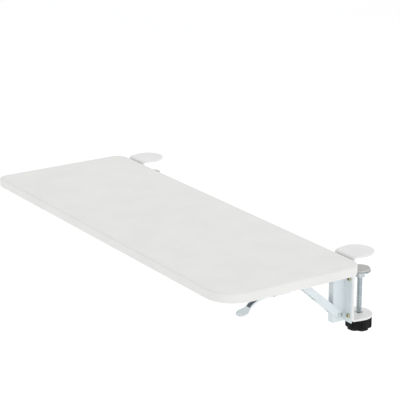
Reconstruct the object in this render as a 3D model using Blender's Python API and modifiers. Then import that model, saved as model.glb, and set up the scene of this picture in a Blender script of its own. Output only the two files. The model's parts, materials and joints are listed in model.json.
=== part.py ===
"""Clamp-on keyboard tray with two folding brackets.

A flat board hangs in front of a desk on two brackets. Each bracket has a C-shaped clamp with a screw
and a knob, an upright leg, a channel arm under the board, a diagonal brace and a sprung release lever.
The board and its arms fold down about the two hinge pins at the tops of the legs.

Axes: +X is the user's right, +Y points under the desk, +Z is up. The origin is on the top front edge
of the desk, midway between the two clamps. Lengths are in metres.
"""

import math

import bpy
import bmesh
from mathutils import Matrix, Vector

# ---------------------------------------------------------------- driving sizes
GAP = 0.0003

TRAY_WIDTH = 0.670
TRAY_DEPTH = 0.240
TRAY_THICKNESS = 0.016
TRAY_EDGE_ROUND = 0.0028
TRAY_FRONT_RIGHT_RADIUS = 0.045
TRAY_FRONT_LEFT_RADIUS = 0.014
TRAY_BACK_RADIUS = 0.021
TRAY_TO_WALL = 0.0020
PILOT_DEPTH = 0.0095

CLAMP_SPACING = 0.576
CLAMP_PLATE = 0.003
CLAMP_WIDTH = 0.044
CLAMP_OPENING = 0.0945
CLAMP_BEND_INSIDE = 0.0012
TONGUE_END_RADIUS = 0.0255
TONGUE_REACH = 0.0455

DESK_THICKNESS = 0.025
SCREW_Y = 0.0270
SPINDLE_RADIUS = 0.004
SPINDLE_CHAMFER = 0.0008
BORE_CLEARANCE = 0.0003
BUSH_RADIUS = 0.0060
BUSH_CHAMFER = 0.0005

PAD_RADIUS = 0.015
PAD_THICKNESS = 0.003
DISC_RADIUS = 0.016
DISC_THICKNESS = 0.0024
DISC_ROUND = 0.0006
BOSS_RADIUS = 0.0075
BOSS_DEPTH = 0.0104
SOCKET_DEPTH = 0.0040

KNOB_RADIUS = 0.0195
KNOB_HEIGHT = 0.0200
KNOB_LOBES = 5
KNOB_FLUTE = 0.0036
KNOB_EDGE_ROUND = 0.0022
KNOB_BELOW_JAW = 0.0015
KNOB_BORE_DEPTH = 0.0143
CAP_RADIUS = 0.0075
CAP_RIM = 0.0006
CAP_HEIGHT = 0.0014

SHEET = 0.0015
LEG_WIDTH = 0.0120
LEG_FRONT_Y = -0.0260
LEG_TOP_Z = -0.0190
LEG_BELOW_JAW = 0.0013
LEG_BEND = 0.0010
LEG_FRONT_BEND = 0.0018
EAR_WIDTH = 0.016
EAR_SCREW_INSET = 0.0060
EAR_SCREW_TOP_Z = -0.0312
EAR_SCREW_LOW_Z = -0.0884

HINGE_Y = -0.0213
HINGE_Z = -0.0260
HINGE_PIN_RADIUS = 0.0025
HINGE_HEAD_RADIUS = 0.0042
HINGE_HEAD_HEIGHT = 0.0012
SPACER_RADIUS = 0.0045

BRACE_FOOT_Y = -0.0135
BRACE_FOOT_Z = -0.0889
BRACE_TIP_Y = -0.0866
BRACE_TIP_Z = -0.0236
BRACE_FOOT_HALF = 0.0058
BRACE_TIP_HALF = 0.0050
BRACE_WEB_START = 0.022
BRACE_WEB_END = 0.050
BRACE_ROOM = 0.012
RIVET_RADIUS = 0.003
RIVET_HEAD_RADIUS = 0.0039
RIVET_HEAD_HEIGHT = 0.0014
GLIDE_RADIUS = 0.0032
GLIDE_THICKNESS = 0.00095

ARM_BACK_Y = -0.0085
ARM_FRONT_Y = -0.1667
ARM_LOW_Z = -0.0332
ARM_SHALLOW_Z = -0.0280
ARM_DEEP_START_Y = -0.0965
ARM_DEEP_FULL_Y = -0.1062
ARM_DEEP_END_Y = -0.1462
ARM_NOSE_Y = -0.1507
ARM_EYE_HALF = 0.0058
ARM_EYE_DROP = 0.0048
ARM_SCREW_YS = (-0.0437, -0.0697, -0.0957, -0.1557)

LEVER_PIVOT_Y = -0.1343
LEVER_PIVOT_Z = -0.0298
LEVER_PIN_RADIUS = 0.0016
LEVER_HEAD_RADIUS = 0.0030
LEVER_HEAD_HEIGHT = 0.0011
LEVER_FLOOR = (
    (-0.1142, -0.0305),
    (-0.1217, -0.0330),
    (-0.1310, -0.0347),
    (-0.1413, -0.0350),
    (-0.1551, -0.0362),
    (-0.1640, -0.0381),
    (-0.1702, -0.0406),
    (-0.1736, -0.0445),
    (-0.1754, -0.0484),
)
LEVER_RIM = (
    (-0.1752, -0.0440),
    (-0.1722, -0.0396),
    (-0.1674, -0.0350),
    (-0.1600, -0.0288),
    (-0.1530, -0.0252),
    (-0.1457, -0.0245),
    (-0.1167, -0.0245),
    (-0.1142, -0.0268),
)
LEVER_NECK = ((-0.1799, -0.0506), (-0.1804, -0.0494), (-0.1767, -0.0474))
LEVER_WALL_END_Y = -0.1714
SPOON_Y = -0.1812
SPOON_Z = -0.0496
SPOON_HALF_WIDTH = 0.0093
SPOON_HALF_LENGTH = 0.0085
SPOON_THICKNESS = 0.0020
SPOON_SLOPE = math.radians(20)

SPRING_WIRE = 0.00040
SPRING_TURNS = 4
SPRING_HALF_WIDTH = 0.0026

M4_RADIUS = 0.002
M4_HEAD_RADIUS = 0.0035
M4_HEAD_HEIGHT = 0.0022
EAR_SCREW_LENGTH = 0.0043
ARM_SCREW_REACH = 0.0080
PILOT_SIDES = 12
HOLE_SIDES = 16
BORE_SIDES = 24

# ---------------------------------------------------------------- sizes that follow from them
TRAY_BACK_Y = -CLAMP_PLATE - TRAY_TO_WALL
TRAY_FRONT_Y = TRAY_BACK_Y - TRAY_DEPTH
JAW_LOW_Z = -CLAMP_OPENING - CLAMP_PLATE
EAR_BACK_Y = -CLAMP_PLATE - GAP
EAR_FRONT_Y = EAR_BACK_Y - SHEET
LEG_HALF = LEG_WIDTH / 2
LEG_LOW_Z = JAW_LOW_Z - LEG_BELOW_JAW
BRACE_INSIDE_HALF = LEG_HALF + GAP
BRACE_OUTSIDE_HALF = BRACE_INSIDE_HALF + SHEET
ARM_INSIDE_HALF = BRACE_OUTSIDE_HALF + GAP + GLIDE_THICKNESS + GAP
ARM_OUTSIDE_HALF = ARM_INSIDE_HALF + SHEET
ARM_TOP_Z = -TRAY_THICKNESS - GAP
ARM_WEB_LOW_Z = ARM_TOP_Z - SHEET
LEVER_HALF = LEG_HALF
BRACE_LENGTH = math.hypot(BRACE_FOOT_Y - BRACE_TIP_Y, BRACE_TIP_Z - BRACE_FOOT_Z)
BRACE_SLOPE = math.atan2(BRACE_TIP_Z - BRACE_FOOT_Z, BRACE_FOOT_Y - BRACE_TIP_Y)
PAD_TOP_Z = -DESK_THICKNESS - GAP
DISC_TOP_Z = PAD_TOP_Z - PAD_THICKNESS - GAP
KNOB_TOP_Z = JAW_LOW_Z - KNOB_BELOW_JAW
SPINDLE_BORE = SPINDLE_RADIUS + BORE_CLEARANCE

# ---------------------------------------------------------------- scene and helpers
for old in list(bpy.data.objects):
    bpy.data.objects.remove(old, do_unlink=True)

parts = bpy.data.collections.new("clamp_on_keyboard_tray")
cutters = bpy.data.collections.new("cutters")
bpy.context.scene.collection.children.link(parts)
bpy.context.scene.collection.children.link(cutters)


def make_material(name, colour, roughness, metallic):
    """A plain Principled material."""
    made = bpy.data.materials.new(name)
    made.use_nodes = True
    shader = made.node_tree.nodes["Principled BSDF"]
    shader.inputs["Base Color"].default_value = (*colour, 1.0)
    shader.inputs["Roughness"].default_value = roughness
    shader.inputs["Metallic"].default_value = metallic
    return made


BOARD = make_material("white_laminate", (0.80, 0.80, 0.77), 0.45, 0.0)
COATED = make_material("white_powder_coat", (0.78, 0.81, 0.82), 0.40, 0.0)
DARK_STEEL = make_material("dark_steel", (0.10, 0.10, 0.10), 0.40, 0.9)
YELLOW_ZINC = make_material("yellow_zinc", (0.56, 0.52, 0.36), 0.38, 1.0)
ZINC = make_material("zinc_plated_steel", (0.56, 0.60, 0.62), 0.28, 1.0)
BLACK = make_material("black_plastic", (0.012, 0.012, 0.013), 0.45, 0.0)
RUBBER = make_material("black_rubber", (0.02, 0.02, 0.02), 0.80, 0.0)
NYLON = make_material("natural_nylon", (0.74, 0.73, 0.68), 0.50, 0.0)
SPRING = make_material("spring_wire", (0.42, 0.42, 0.43), 0.30, 1.0)


def put_in(collection, item):
    """Keep an object in one collection only."""
    for held in list(item.users_collection):
        held.objects.unlink(item)
    collection.objects.link(item)


def add_empty(name, place, parent=None):
    """An empty on a joint's axis."""
    empty = bpy.data.objects.new(name, None)
    empty.empty_display_size = 0.02
    parts.objects.link(empty)
    hang(empty, place, parent)
    return empty


def hang(item, place, parent):
    """Place an object in the world, under its parent empty."""
    base = Vector((0.0, 0.0, 0.0))
    above = parent
    while above is not None:
        base += above.location
        above = above.parent
    item.parent = parent
    item.location = Vector(place) - base


def finish(item, material, parent, smooth=True):
    """Give a part its material, shading and parent."""
    put_in(parts, item)
    item.data.materials.clear()
    item.data.materials.append(material)
    if smooth:
        item.data.shade_smooth()
        item.data.set_sharp_from_angle(angle=math.radians(35))
    hang(item, item.location.copy(), parent)
    return item


def rounded(corners):
    """Points of an outline whose corners (u, v, radius, steps) are rounded."""
    points = []
    count = len(corners)
    for index, (u, v, radius, steps) in enumerate(corners):
        here = Vector((u, v))
        if radius <= 0.0:
            points.append(here)
            continue
        before = (Vector(corners[index - 1][:2]) - here).normalized()
        after = (Vector(corners[(index + 1) % count][:2]) - here).normalized()
        half = math.acos(max(-1.0, min(1.0, before.dot(after)))) / 2
        reach = radius / math.tan(half)
        centre = here + (before + after).normalized() * (radius / math.sin(half))
        start = here + before * reach - centre
        end = here + after * reach - centre
        turn = math.atan2(start.x * end.y - start.y * end.x, start.dot(end))
        for step in range(steps + 1):
            angle = turn * step / steps
            points.append(centre + Matrix.Rotation(angle, 2) @ start)
    return points


def arc(centre_u, centre_v, radius, start, end, steps):
    """Points on an arc, angles in degrees."""
    points = []
    for step in range(steps + 1):
        angle = math.radians(start + (end - start) * step / steps)
        points.append(Vector((centre_u + radius * math.cos(angle), centre_v + radius * math.sin(angle))))
    return points


def plate(name, outline, low, high, across):
    """A solid cut from flat stock: an outline in the XY plane (across Z) or in the YZ plane (across X)."""
    flat = bpy.data.curves.new(name, "CURVE")
    flat.dimensions = "2D"
    flat.fill_mode = "BOTH"
    flat.extrude = (high - low) / 2
    spline = flat.splines.new("POLY")
    spline.points.add(len(outline) - 1)
    for point, place in zip(spline.points, outline):
        point.co = (place[0], place[1], 0.0, 1.0)
    spline.use_cyclic_u = True
    drawn = bpy.data.objects.new(name, flat)
    bpy.context.scene.collection.objects.link(drawn)
    if across == "X":
        turn = Matrix(((0, 0, 1, 0), (1, 0, 0, 0), (0, 1, 0, 0), (0, 0, 0, 1)))
    else:
        turn = Matrix.Identity(4)
    middle = (low + high) / 2
    shift = Matrix.Translation((middle, 0, 0) if across == "X" else (0, 0, middle))
    bpy.context.view_layer.update()
    read = drawn.evaluated_get(bpy.context.evaluated_depsgraph_get())
    mesh = bpy.data.meshes.new_from_object(read)
    bpy.data.objects.remove(drawn)
    mesh.transform(shift @ turn)
    work = bmesh.new()
    work.from_mesh(mesh)
    bmesh.ops.remove_doubles(work, verts=work.verts, dist=0.000001)
    bmesh.ops.dissolve_limit(work, angle_limit=0.001, verts=work.verts, edges=work.edges)
    bmesh.ops.recalc_face_normals(work, faces=work.faces)
    work.to_mesh(mesh)
    work.free()
    mesh.name = name
    item = bpy.data.objects.new(name, mesh)
    parts.objects.link(item)
    return item


def turned(name, profile, place, axis="Z", closed=False, steps=24):
    """A solid of revolution from (radius, height) points, top to bottom down the outer side."""
    mesh = bpy.data.meshes.new(name)
    work = bmesh.new()
    made = [work.verts.new((radius, 0.0, height)) for radius, height in profile]
    for first, second in zip(made, made[1:]):
        work.edges.new((first, second))
    if closed:
        work.edges.new((made[-1], made[0]))
    work.to_mesh(mesh)
    work.free()
    item = bpy.data.objects.new(name, mesh)
    parts.objects.link(item)
    item.location = place
    if axis == "X":
        item.rotation_euler = (0.0, math.pi / 2, 0.0)
    elif axis == "Y":
        item.rotation_euler = (math.pi / 2, 0.0, 0.0)
    screw = item.modifiers.new("turn", "SCREW")
    screw.angle = 2 * math.pi
    screw.steps = steps
    screw.render_steps = steps
    screw.use_merge_vertices = True
    screw.merge_threshold = 0.00001
    screw.use_smooth_shade = True
    return item


def hide_cutter(item):
    """Keep a cutter out of the finished object."""
    put_in(cutters, item)
    item.hide_render = True
    item.display_type = "WIRE"
    return item


def drill(name, centre, radius, length, axis, sides=BORE_SIDES):
    """A round cutter centred on a point."""
    turn = {"X": (0, math.pi / 2, 0), "Y": (math.pi / 2, 0, 0), "Z": (0, 0, 0)}[axis]
    bpy.ops.mesh.primitive_cylinder_add(
        vertices=sides, radius=radius, depth=length, location=centre, rotation=turn
    )
    item = bpy.context.active_object
    item.name = name
    return hide_cutter(item)


def combine(item, other, operation):
    """Cut, join or trim a part with another solid."""
    change = item.modifiers.new(other.name, "BOOLEAN")
    change.operation = operation
    change.object = other
    return item


def round_edges(item, width, segments, angle=50):
    """Round the sharp edges of a part."""
    bevel = item.modifiers.new("rounded_edges", "BEVEL")
    bevel.width = width
    bevel.segments = segments
    bevel.limit_method = "ANGLE"
    bevel.angle_limit = math.radians(angle)
    bevel.harden_normals = False
    return bevel


def shifted(points, across):
    """Move an outline in the XY plane sideways."""
    return [Vector((point[0] + across, point[1])) for point in points]


# ---------------------------------------------------------------- joint axes
root = add_empty("desk_edge", (0.0, 0.0, 0.0))
fold_axis = add_empty("fold_axis", (0.0, HINGE_Y, HINGE_Z), root)


# ---------------------------------------------------------------- board
def make_tray():
    """The board, with a broader corner at the front right."""
    half = TRAY_WIDTH / 2
    outline = rounded(
        [
            (half, TRAY_BACK_Y, TRAY_BACK_RADIUS, 9),
            (-half, TRAY_BACK_Y, TRAY_BACK_RADIUS, 9),
            (-half, TRAY_FRONT_Y, TRAY_FRONT_LEFT_RADIUS, 8),
            (half, TRAY_FRONT_Y, TRAY_FRONT_RIGHT_RADIUS, 14),
        ]
    )
    tray = plate("tray_board", outline, -TRAY_THICKNESS, 0.0, "Z")
    round_edges(tray, TRAY_EDGE_ROUND, 3)
    pilot_radius = M4_RADIUS + GAP
    for side in (-1, 1):
        for number, place in enumerate(ARM_SCREW_YS):
            centre = (side * CLAMP_SPACING / 2, place, -TRAY_THICKNESS)
            hole = drill(f"pilot_{side}_{number}", centre, pilot_radius, 2 * PILOT_DEPTH, "Z", PILOT_SIDES)
            combine(tray, hole, "DIFFERENCE")
    return finish(tray, BOARD, fold_axis)


# ---------------------------------------------------------------- clamp
def ear_screw_places(middle):
    """The (x, z) places of the four screws that hold the leg to the clamp's wall, with their names."""
    places = []
    reach = CLAMP_WIDTH / 2 - EAR_SCREW_INSET
    for across, label in ((-1, "left"), (1, "right")):
        for level, height in (("upper", EAR_SCREW_TOP_Z), ("lower", EAR_SCREW_LOW_Z)):
            places.append((middle + across * reach, height, f"{level}_{label}"))
    return places


def make_clamp_frame(side, middle):
    """The C-shaped plate: tongue on the desk, wall against its edge, jaw below."""
    half = CLAMP_WIDTH / 2
    spare = 2 * CLAMP_PLATE
    far = TONGUE_REACH + spare
    outer = CLAMP_BEND_INSIDE + CLAMP_PLATE
    section = rounded(
        [
            (far, 0.0, 0, 0),
            (0.0, 0.0, CLAMP_BEND_INSIDE, 4),
            (0.0, -CLAMP_OPENING, CLAMP_BEND_INSIDE, 4),
            (far, -CLAMP_OPENING, 0, 0),
            (far, JAW_LOW_Z, 0, 0),
            (-CLAMP_PLATE, JAW_LOW_Z, outer, 6),
            (-CLAMP_PLATE, CLAMP_PLATE, outer, 6),
            (far, CLAMP_PLATE, 0, 0),
        ]
    )
    reach = half + spare
    frame = plate(f"{side}_clamp_frame", section, middle - reach, middle + reach, "X")
    centre_y = TONGUE_REACH - TONGUE_END_RADIUS
    distance = math.hypot(half, centre_y)
    spread = math.degrees(math.acos(TONGUE_END_RADIUS / distance))
    bearing = math.degrees(math.atan2(-centre_y, half))
    start = bearing + spread
    plan = [Vector((-half, -spare)), Vector((half, -spare)), Vector((half, 0.0))]
    plan += arc(0.0, centre_y, TONGUE_END_RADIUS, start, 180 - start, 26)
    plan += [Vector((-half, 0.0))]
    trim = plate(f"{side}_clamp_plan", shifted(plan, middle), JAW_LOW_Z - spare, CLAMP_PLATE + spare, "Z")
    combine(frame, hide_cutter(trim), "INTERSECT")
    jaw_centre = (middle, SCREW_Y, -CLAMP_OPENING)
    jaw_hole = drill(f"{side}_jaw_hole", jaw_centre, BUSH_RADIUS + GAP, 4 * CLAMP_PLATE, "Z")
    combine(frame, jaw_hole, "DIFFERENCE")
    hole_radius = M4_RADIUS + GAP
    for x, height, label in ear_screw_places(middle):
        name = f"{side}_wall_hole_{label}"
        hole = drill(name, (x, 0.0, height), hole_radius, 4 * CLAMP_PLATE, "Y", HOLE_SIDES)
        combine(frame, hole, "DIFFERENCE")
    return finish(frame, COATED, root)


def make_clamp_screw(side, middle):
    """Jaw bush, spindle, knob with its cap, pressure disc and rubber pad."""
    slide = add_empty(f"{side}_pad_slide", (middle, SCREW_Y, PAD_TOP_Z), root)
    turn = add_empty(f"{side}_knob_turn", (middle, SCREW_Y, KNOB_TOP_Z), slide)
    centre = (middle, SCREW_Y, 0.0)
    top = -CLAMP_OPENING + GAP
    low = JAW_LOW_Z - GAP
    bush = turned(
        f"{side}_jaw_bush",
        [
            (BUSH_RADIUS - BUSH_CHAMFER, top),
            (BUSH_RADIUS, top - BUSH_CHAMFER),
            (BUSH_RADIUS, low + BUSH_CHAMFER),
            (BUSH_RADIUS - BUSH_CHAMFER, low),
            (SPINDLE_BORE, low),
            (SPINDLE_BORE, top),
        ],
        centre,
        closed=True,
    )
    finish(bush, ZINC, root)
    spindle_top = DISC_TOP_Z - SOCKET_DEPTH - GAP
    spindle_low = KNOB_TOP_Z - KNOB_BORE_DEPTH + GAP
    spindle = turned(
        f"{side}_spindle",
        [
            (0.0, spindle_top),
            (SPINDLE_RADIUS - SPINDLE_CHAMFER, spindle_top),
            (SPINDLE_RADIUS, spindle_top - SPINDLE_CHAMFER),
            (SPINDLE_RADIUS, spindle_low + SPINDLE_CHAMFER),
            (SPINDLE_RADIUS - SPINDLE_CHAMFER, spindle_low),
            (0.0, spindle_low),
        ],
        centre,
    )
    finish(spindle, ZINC, turn)
    outline = []
    count = KNOB_LOBES * 12
    for index in range(count):
        angle = 2 * math.pi * index / count
        wave = 0.5 + 0.5 * math.cos(KNOB_LOBES * angle + 0.6)
        radius = KNOB_RADIUS - KNOB_FLUTE * (1.0 - wave ** 0.7)
        outline.append(Vector((middle + radius * math.cos(angle), SCREW_Y + radius * math.sin(angle))))
    knob = plate(f"{side}_knob", outline, KNOB_TOP_Z - KNOB_HEIGHT, KNOB_TOP_Z, "Z")
    round_edges(knob, KNOB_EDGE_ROUND, 2, 60)
    mouth = (middle, SCREW_Y, KNOB_TOP_Z)
    socket = drill(f"{side}_knob_bore", mouth, SPINDLE_BORE, 2 * KNOB_BORE_DEPTH, "Z")
    combine(knob, socket, "DIFFERENCE")
    finish(knob, BLACK, turn)
    cap_top = KNOB_TOP_Z - KNOB_HEIGHT - GAP
    cap = turned(
        f"{side}_knob_cap",
        [
            (0.0, cap_top),
            (CAP_RADIUS, cap_top),
            (CAP_RADIUS, cap_top - CAP_RIM),
            (CAP_RADIUS - CAP_RIM, cap_top - 2 * CAP_RIM),
            (0.0, cap_top - CAP_HEIGHT),
        ],
        centre,
    )
    finish(cap, BLACK, turn)
    disc_low = DISC_TOP_Z - DISC_THICKNESS
    boss_low = DISC_TOP_Z - BOSS_DEPTH
    disc = turned(
        f"{side}_pressure_disc",
        [
            (0.0, DISC_TOP_Z),
            (DISC_RADIUS - DISC_ROUND, DISC_TOP_Z),
            (DISC_RADIUS, DISC_TOP_Z - DISC_ROUND),
            (DISC_RADIUS, disc_low),
            (BOSS_RADIUS + DISC_ROUND, disc_low),
            (BOSS_RADIUS, disc_low - DISC_ROUND),
            (BOSS_RADIUS, boss_low),
            (SPINDLE_BORE, boss_low),
            (SPINDLE_BORE, DISC_TOP_Z - SOCKET_DEPTH),
            (0.0, DISC_TOP_Z - SOCKET_DEPTH),
        ],
        centre,
        steps=28,
    )
    finish(disc, ZINC, slide)
    pad = turned(
        f"{side}_rubber_pad",
        [
            (0.0, PAD_TOP_Z),
            (PAD_RADIUS - DISC_ROUND, PAD_TOP_Z),
            (PAD_RADIUS, PAD_TOP_Z - DISC_ROUND),
            (PAD_RADIUS, PAD_TOP_Z - PAD_THICKNESS),
            (0.0, PAD_TOP_Z - PAD_THICKNESS),
        ],
        centre,
        steps=28,
    )
    finish(pad, RUBBER, slide)


# ---------------------------------------------------------------- leg
def make_leg(side, middle):
    """The upright hat-section leg, screwed to the clamp's wall through its two ears."""
    inside = LEG_HALF - SHEET
    ear = LEG_HALF + EAR_WIDTH
    spare = 4 * SHEET
    plan = rounded(
        [
            (-ear, EAR_BACK_Y, 0, 0),
            (-inside, EAR_BACK_Y, LEG_BEND + SHEET, 4),
            (-inside, LEG_FRONT_Y + SHEET, LEG_BEND / 2, 2),
            (inside, LEG_FRONT_Y + SHEET, LEG_BEND / 2, 2),
            (inside, EAR_BACK_Y, LEG_BEND + SHEET, 4),
            (ear, EAR_BACK_Y, 0, 0),
            (ear, EAR_FRONT_Y, 0, 0),
            (LEG_HALF, EAR_FRONT_Y, LEG_BEND, 3),
            (LEG_HALF, LEG_FRONT_Y, LEG_FRONT_BEND, 4),
            (-LEG_HALF, LEG_FRONT_Y, LEG_FRONT_BEND, 4),
            (-LEG_HALF, EAR_FRONT_Y, LEG_BEND, 3),
            (-ear, EAR_FRONT_Y, 0, 0),
        ]
    )
    leg = plate(f"{side}_leg", shifted(plan, middle), LEG_LOW_Z, LEG_TOP_Z, "Z")
    round_top = HINGE_Y - LEG_FRONT_Y
    shape = [
        Vector((0.0, LEG_LOW_Z - spare)),
        Vector((0.0, LEG_TOP_Z + spare)),
        Vector((EAR_FRONT_Y - spare, LEG_TOP_Z + spare)),
    ]
    shape += arc(HINGE_Y, HINGE_Z, round_top, 68, 180, 10)
    shape += [
        Vector((LEG_FRONT_Y - GAP, HINGE_Z - round_top)),
        Vector((LEG_FRONT_Y - SHEET, LEG_LOW_Z - spare)),
    ]
    trim = plate(f"{side}_leg_side", shape, middle - ear - spare, middle + ear + spare, "X")
    combine(leg, hide_cutter(trim), "INTERSECT")
    hole_radius = M4_RADIUS + GAP
    for x, height, label in ear_screw_places(middle):
        name = f"{side}_ear_hole_{label}"
        hole = drill(name, (x, EAR_FRONT_Y, height), hole_radius, 4 * SHEET, "Y", HOLE_SIDES)
        combine(leg, hole, "DIFFERENCE")
    across = LEG_WIDTH + 2 * SHEET
    hinge = (middle, HINGE_Y, HINGE_Z)
    pin_hole = drill(f"{side}_leg_pin_hole", hinge, HINGE_PIN_RADIUS + GAP, across, "X")
    combine(leg, pin_hole, "DIFFERENCE")
    foot = (middle, BRACE_FOOT_Y, BRACE_FOOT_Z)
    rivet_hole = drill(f"{side}_leg_rivet_hole", foot, RIVET_RADIUS + GAP, across, "X")
    combine(leg, rivet_hole, "DIFFERENCE")
    return finish(leg, COATED, root)


def make_ear_screws(side, middle):
    """Four pan-head screws that hold the leg to the clamp's wall."""
    head_back = -EAR_FRONT_Y + GAP
    head_front = head_back + M4_HEAD_HEIGHT
    tip = head_back - EAR_SCREW_LENGTH
    profile = [
        (0.0, head_front),
        (M4_HEAD_RADIUS * 0.5, head_front),
        (M4_HEAD_RADIUS * 0.86, head_front - M4_HEAD_HEIGHT * 0.2),
        (M4_HEAD_RADIUS, head_front - M4_HEAD_HEIGHT * 0.6),
        (M4_HEAD_RADIUS, head_back),
        (M4_RADIUS, head_back),
        (M4_RADIUS, tip),
        (0.0, tip),
    ]
    for x, height, label in ear_screw_places(middle):
        screw = turned(f"{side}_leg_screw_{label}", profile, (x, 0.0, height), "Y", steps=16)
        finish(screw, YELLOW_ZINC, root)


# ---------------------------------------------------------------- arm
def make_arm(side, middle):
    """The channel under the board: a web with two deep cheeks that straddle the leg and the brace."""
    eye_z = HINGE_Z - ARM_EYE_DROP
    outline = rounded(
        [
            (ARM_BACK_Y, ARM_TOP_Z, 0, 0),
            (ARM_FRONT_Y, ARM_TOP_Z, 0, 0),
            (ARM_FRONT_Y, ARM_WEB_LOW_Z, 0, 0),
            (ARM_NOSE_Y, ARM_WEB_LOW_Z, 0.0030, 3),
            (ARM_DEEP_END_Y, ARM_LOW_Z, 0.0075, 6),
            (ARM_DEEP_FULL_Y, ARM_LOW_Z, 0.012, 3),
            (ARM_DEEP_START_Y, ARM_SHALLOW_Z, 0.006, 3),
            (HINGE_Y - 1.6 * ARM_EYE_HALF, ARM_SHALLOW_Z, 0.004, 2),
            (HINGE_Y - ARM_EYE_HALF, eye_z, 0.003, 4),
            (HINGE_Y + ARM_EYE_HALF, eye_z, ARM_EYE_DROP, 5),
            (ARM_BACK_Y, ARM_WEB_LOW_Z - 2 * SHEET, 0.003, 3),
        ]
    )
    arm = plate(f"{side}_arm", outline, middle - ARM_OUTSIDE_HALF, middle + ARM_OUTSIDE_HALF, "X")
    spare = 2 * ARM_INSIDE_HALF
    room = [
        Vector((ARM_BACK_Y + spare, ARM_WEB_LOW_Z)),
        Vector((ARM_FRONT_Y - spare, ARM_WEB_LOW_Z)),
        Vector((ARM_FRONT_Y - spare, ARM_LOW_Z - spare)),
        Vector((ARM_BACK_Y + spare, ARM_LOW_Z - spare)),
    ]
    inside = plate(f"{side}_arm_inside", room, middle - ARM_INSIDE_HALF, middle + ARM_INSIDE_HALF, "X")
    combine(arm, hide_cutter(inside), "DIFFERENCE")
    length = 2 * ARM_OUTSIDE_HALF + SHEET
    hinge = (middle, HINGE_Y, HINGE_Z)
    pin_hole = drill(f"{side}_arm_pin_hole", hinge, HINGE_PIN_RADIUS + GAP, length, "X")
    combine(arm, pin_hole, "DIFFERENCE")
    pivot = (middle, LEVER_PIVOT_Y, LEVER_PIVOT_Z)
    lever_hole = drill(f"{side}_arm_lever_hole", pivot, LEVER_PIN_RADIUS + GAP, length, "X", HOLE_SIDES)
    combine(arm, lever_hole, "DIFFERENCE")
    hole_radius = M4_RADIUS + GAP
    for number, place in enumerate(ARM_SCREW_YS):
        name = f"{side}_arm_screw_hole_{number}"
        hole = drill(name, (middle, place, ARM_TOP_Z), hole_radius, 4 * SHEET, "Z", PILOT_SIDES)
        combine(arm, hole, "DIFFERENCE")
    return finish(arm, COATED, fold_axis)


def make_arm_screws(side, middle):
    """Four screws up through the arm's web into the board."""
    head_top = ARM_WEB_LOW_Z - GAP
    head_low = head_top - M4_RADIUS
    tip = -TRAY_THICKNESS + ARM_SCREW_REACH
    profile = [
        (0.0, tip),
        (M4_RADIUS * 0.5, tip),
        (M4_RADIUS, tip - M4_RADIUS),
        (M4_RADIUS, head_top),
        (M4_HEAD_RADIUS, head_top),
        (M4_HEAD_RADIUS, head_top - M4_RADIUS / 2),
        (M4_HEAD_RADIUS * 0.63, head_low),
        (0.0, head_low),
    ]
    for number, place in enumerate(ARM_SCREW_YS):
        screw = turned(f"{side}_arm_screw_{number + 1}", profile, (middle, place, 0.0), steps=14)
        finish(screw, DARK_STEEL, fold_axis)


def make_pin(name, place, radius, outside, head_radius, head_thickness):
    """A headed pin along X through both cheeks."""
    reach = outside + GAP
    over = reach + head_thickness
    dome = head_thickness / 2
    profile = [
        (0.0, over),
        (head_radius - dome, over),
        (head_radius, over - dome),
        (head_radius, reach),
        (radius, reach),
        (radius, -reach),
        (head_radius, -reach),
        (head_radius, -over + dome),
        (head_radius - dome, -over),
        (0.0, -over),
    ]
    return turned(name, profile, place, "X", steps=20)


def make_hinge(side, middle):
    """Hinge pin through leg and arm, with a nylon spacer on each side of the leg."""
    place = (middle, HINGE_Y, HINGE_Z)
    name = f"{side}_hinge_pin"
    pin = make_pin(name, place, HINGE_PIN_RADIUS, ARM_OUTSIDE_HALF, HINGE_HEAD_RADIUS, HINGE_HEAD_HEIGHT)
    finish(pin, ZINC, root)
    low = LEG_HALF + GAP
    high = ARM_INSIDE_HALF - GAP
    bore = HINGE_PIN_RADIUS + GAP
    for label, near, far in (("left", -high, -low), ("right", low, high)):
        ring = turned(
            f"{side}_hinge_spacer_{label}",
            [(SPACER_RADIUS, far), (SPACER_RADIUS, near), (bore, near), (bore, far)],
            place,
            "X",
            closed=True,
            steps=20,
        )
        finish(ring, NYLON, root)


# ---------------------------------------------------------------- brace
def along_brace(distance, height):
    """A point in the YZ plane at a distance from the foot rivet and a height over the brace's axis."""
    cos = math.cos(BRACE_SLOPE)
    sin = math.sin(BRACE_SLOPE)
    return Vector(
        (
            BRACE_FOOT_Y - distance * cos + height * sin,
            BRACE_FOOT_Z + distance * sin + height * cos,
        )
    )


def brace_half(distance):
    """Half the brace's height at a distance from its foot rivet."""
    share = distance / BRACE_LENGTH
    return BRACE_FOOT_HALF + (BRACE_TIP_HALF - BRACE_FOOT_HALF) * share


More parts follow.
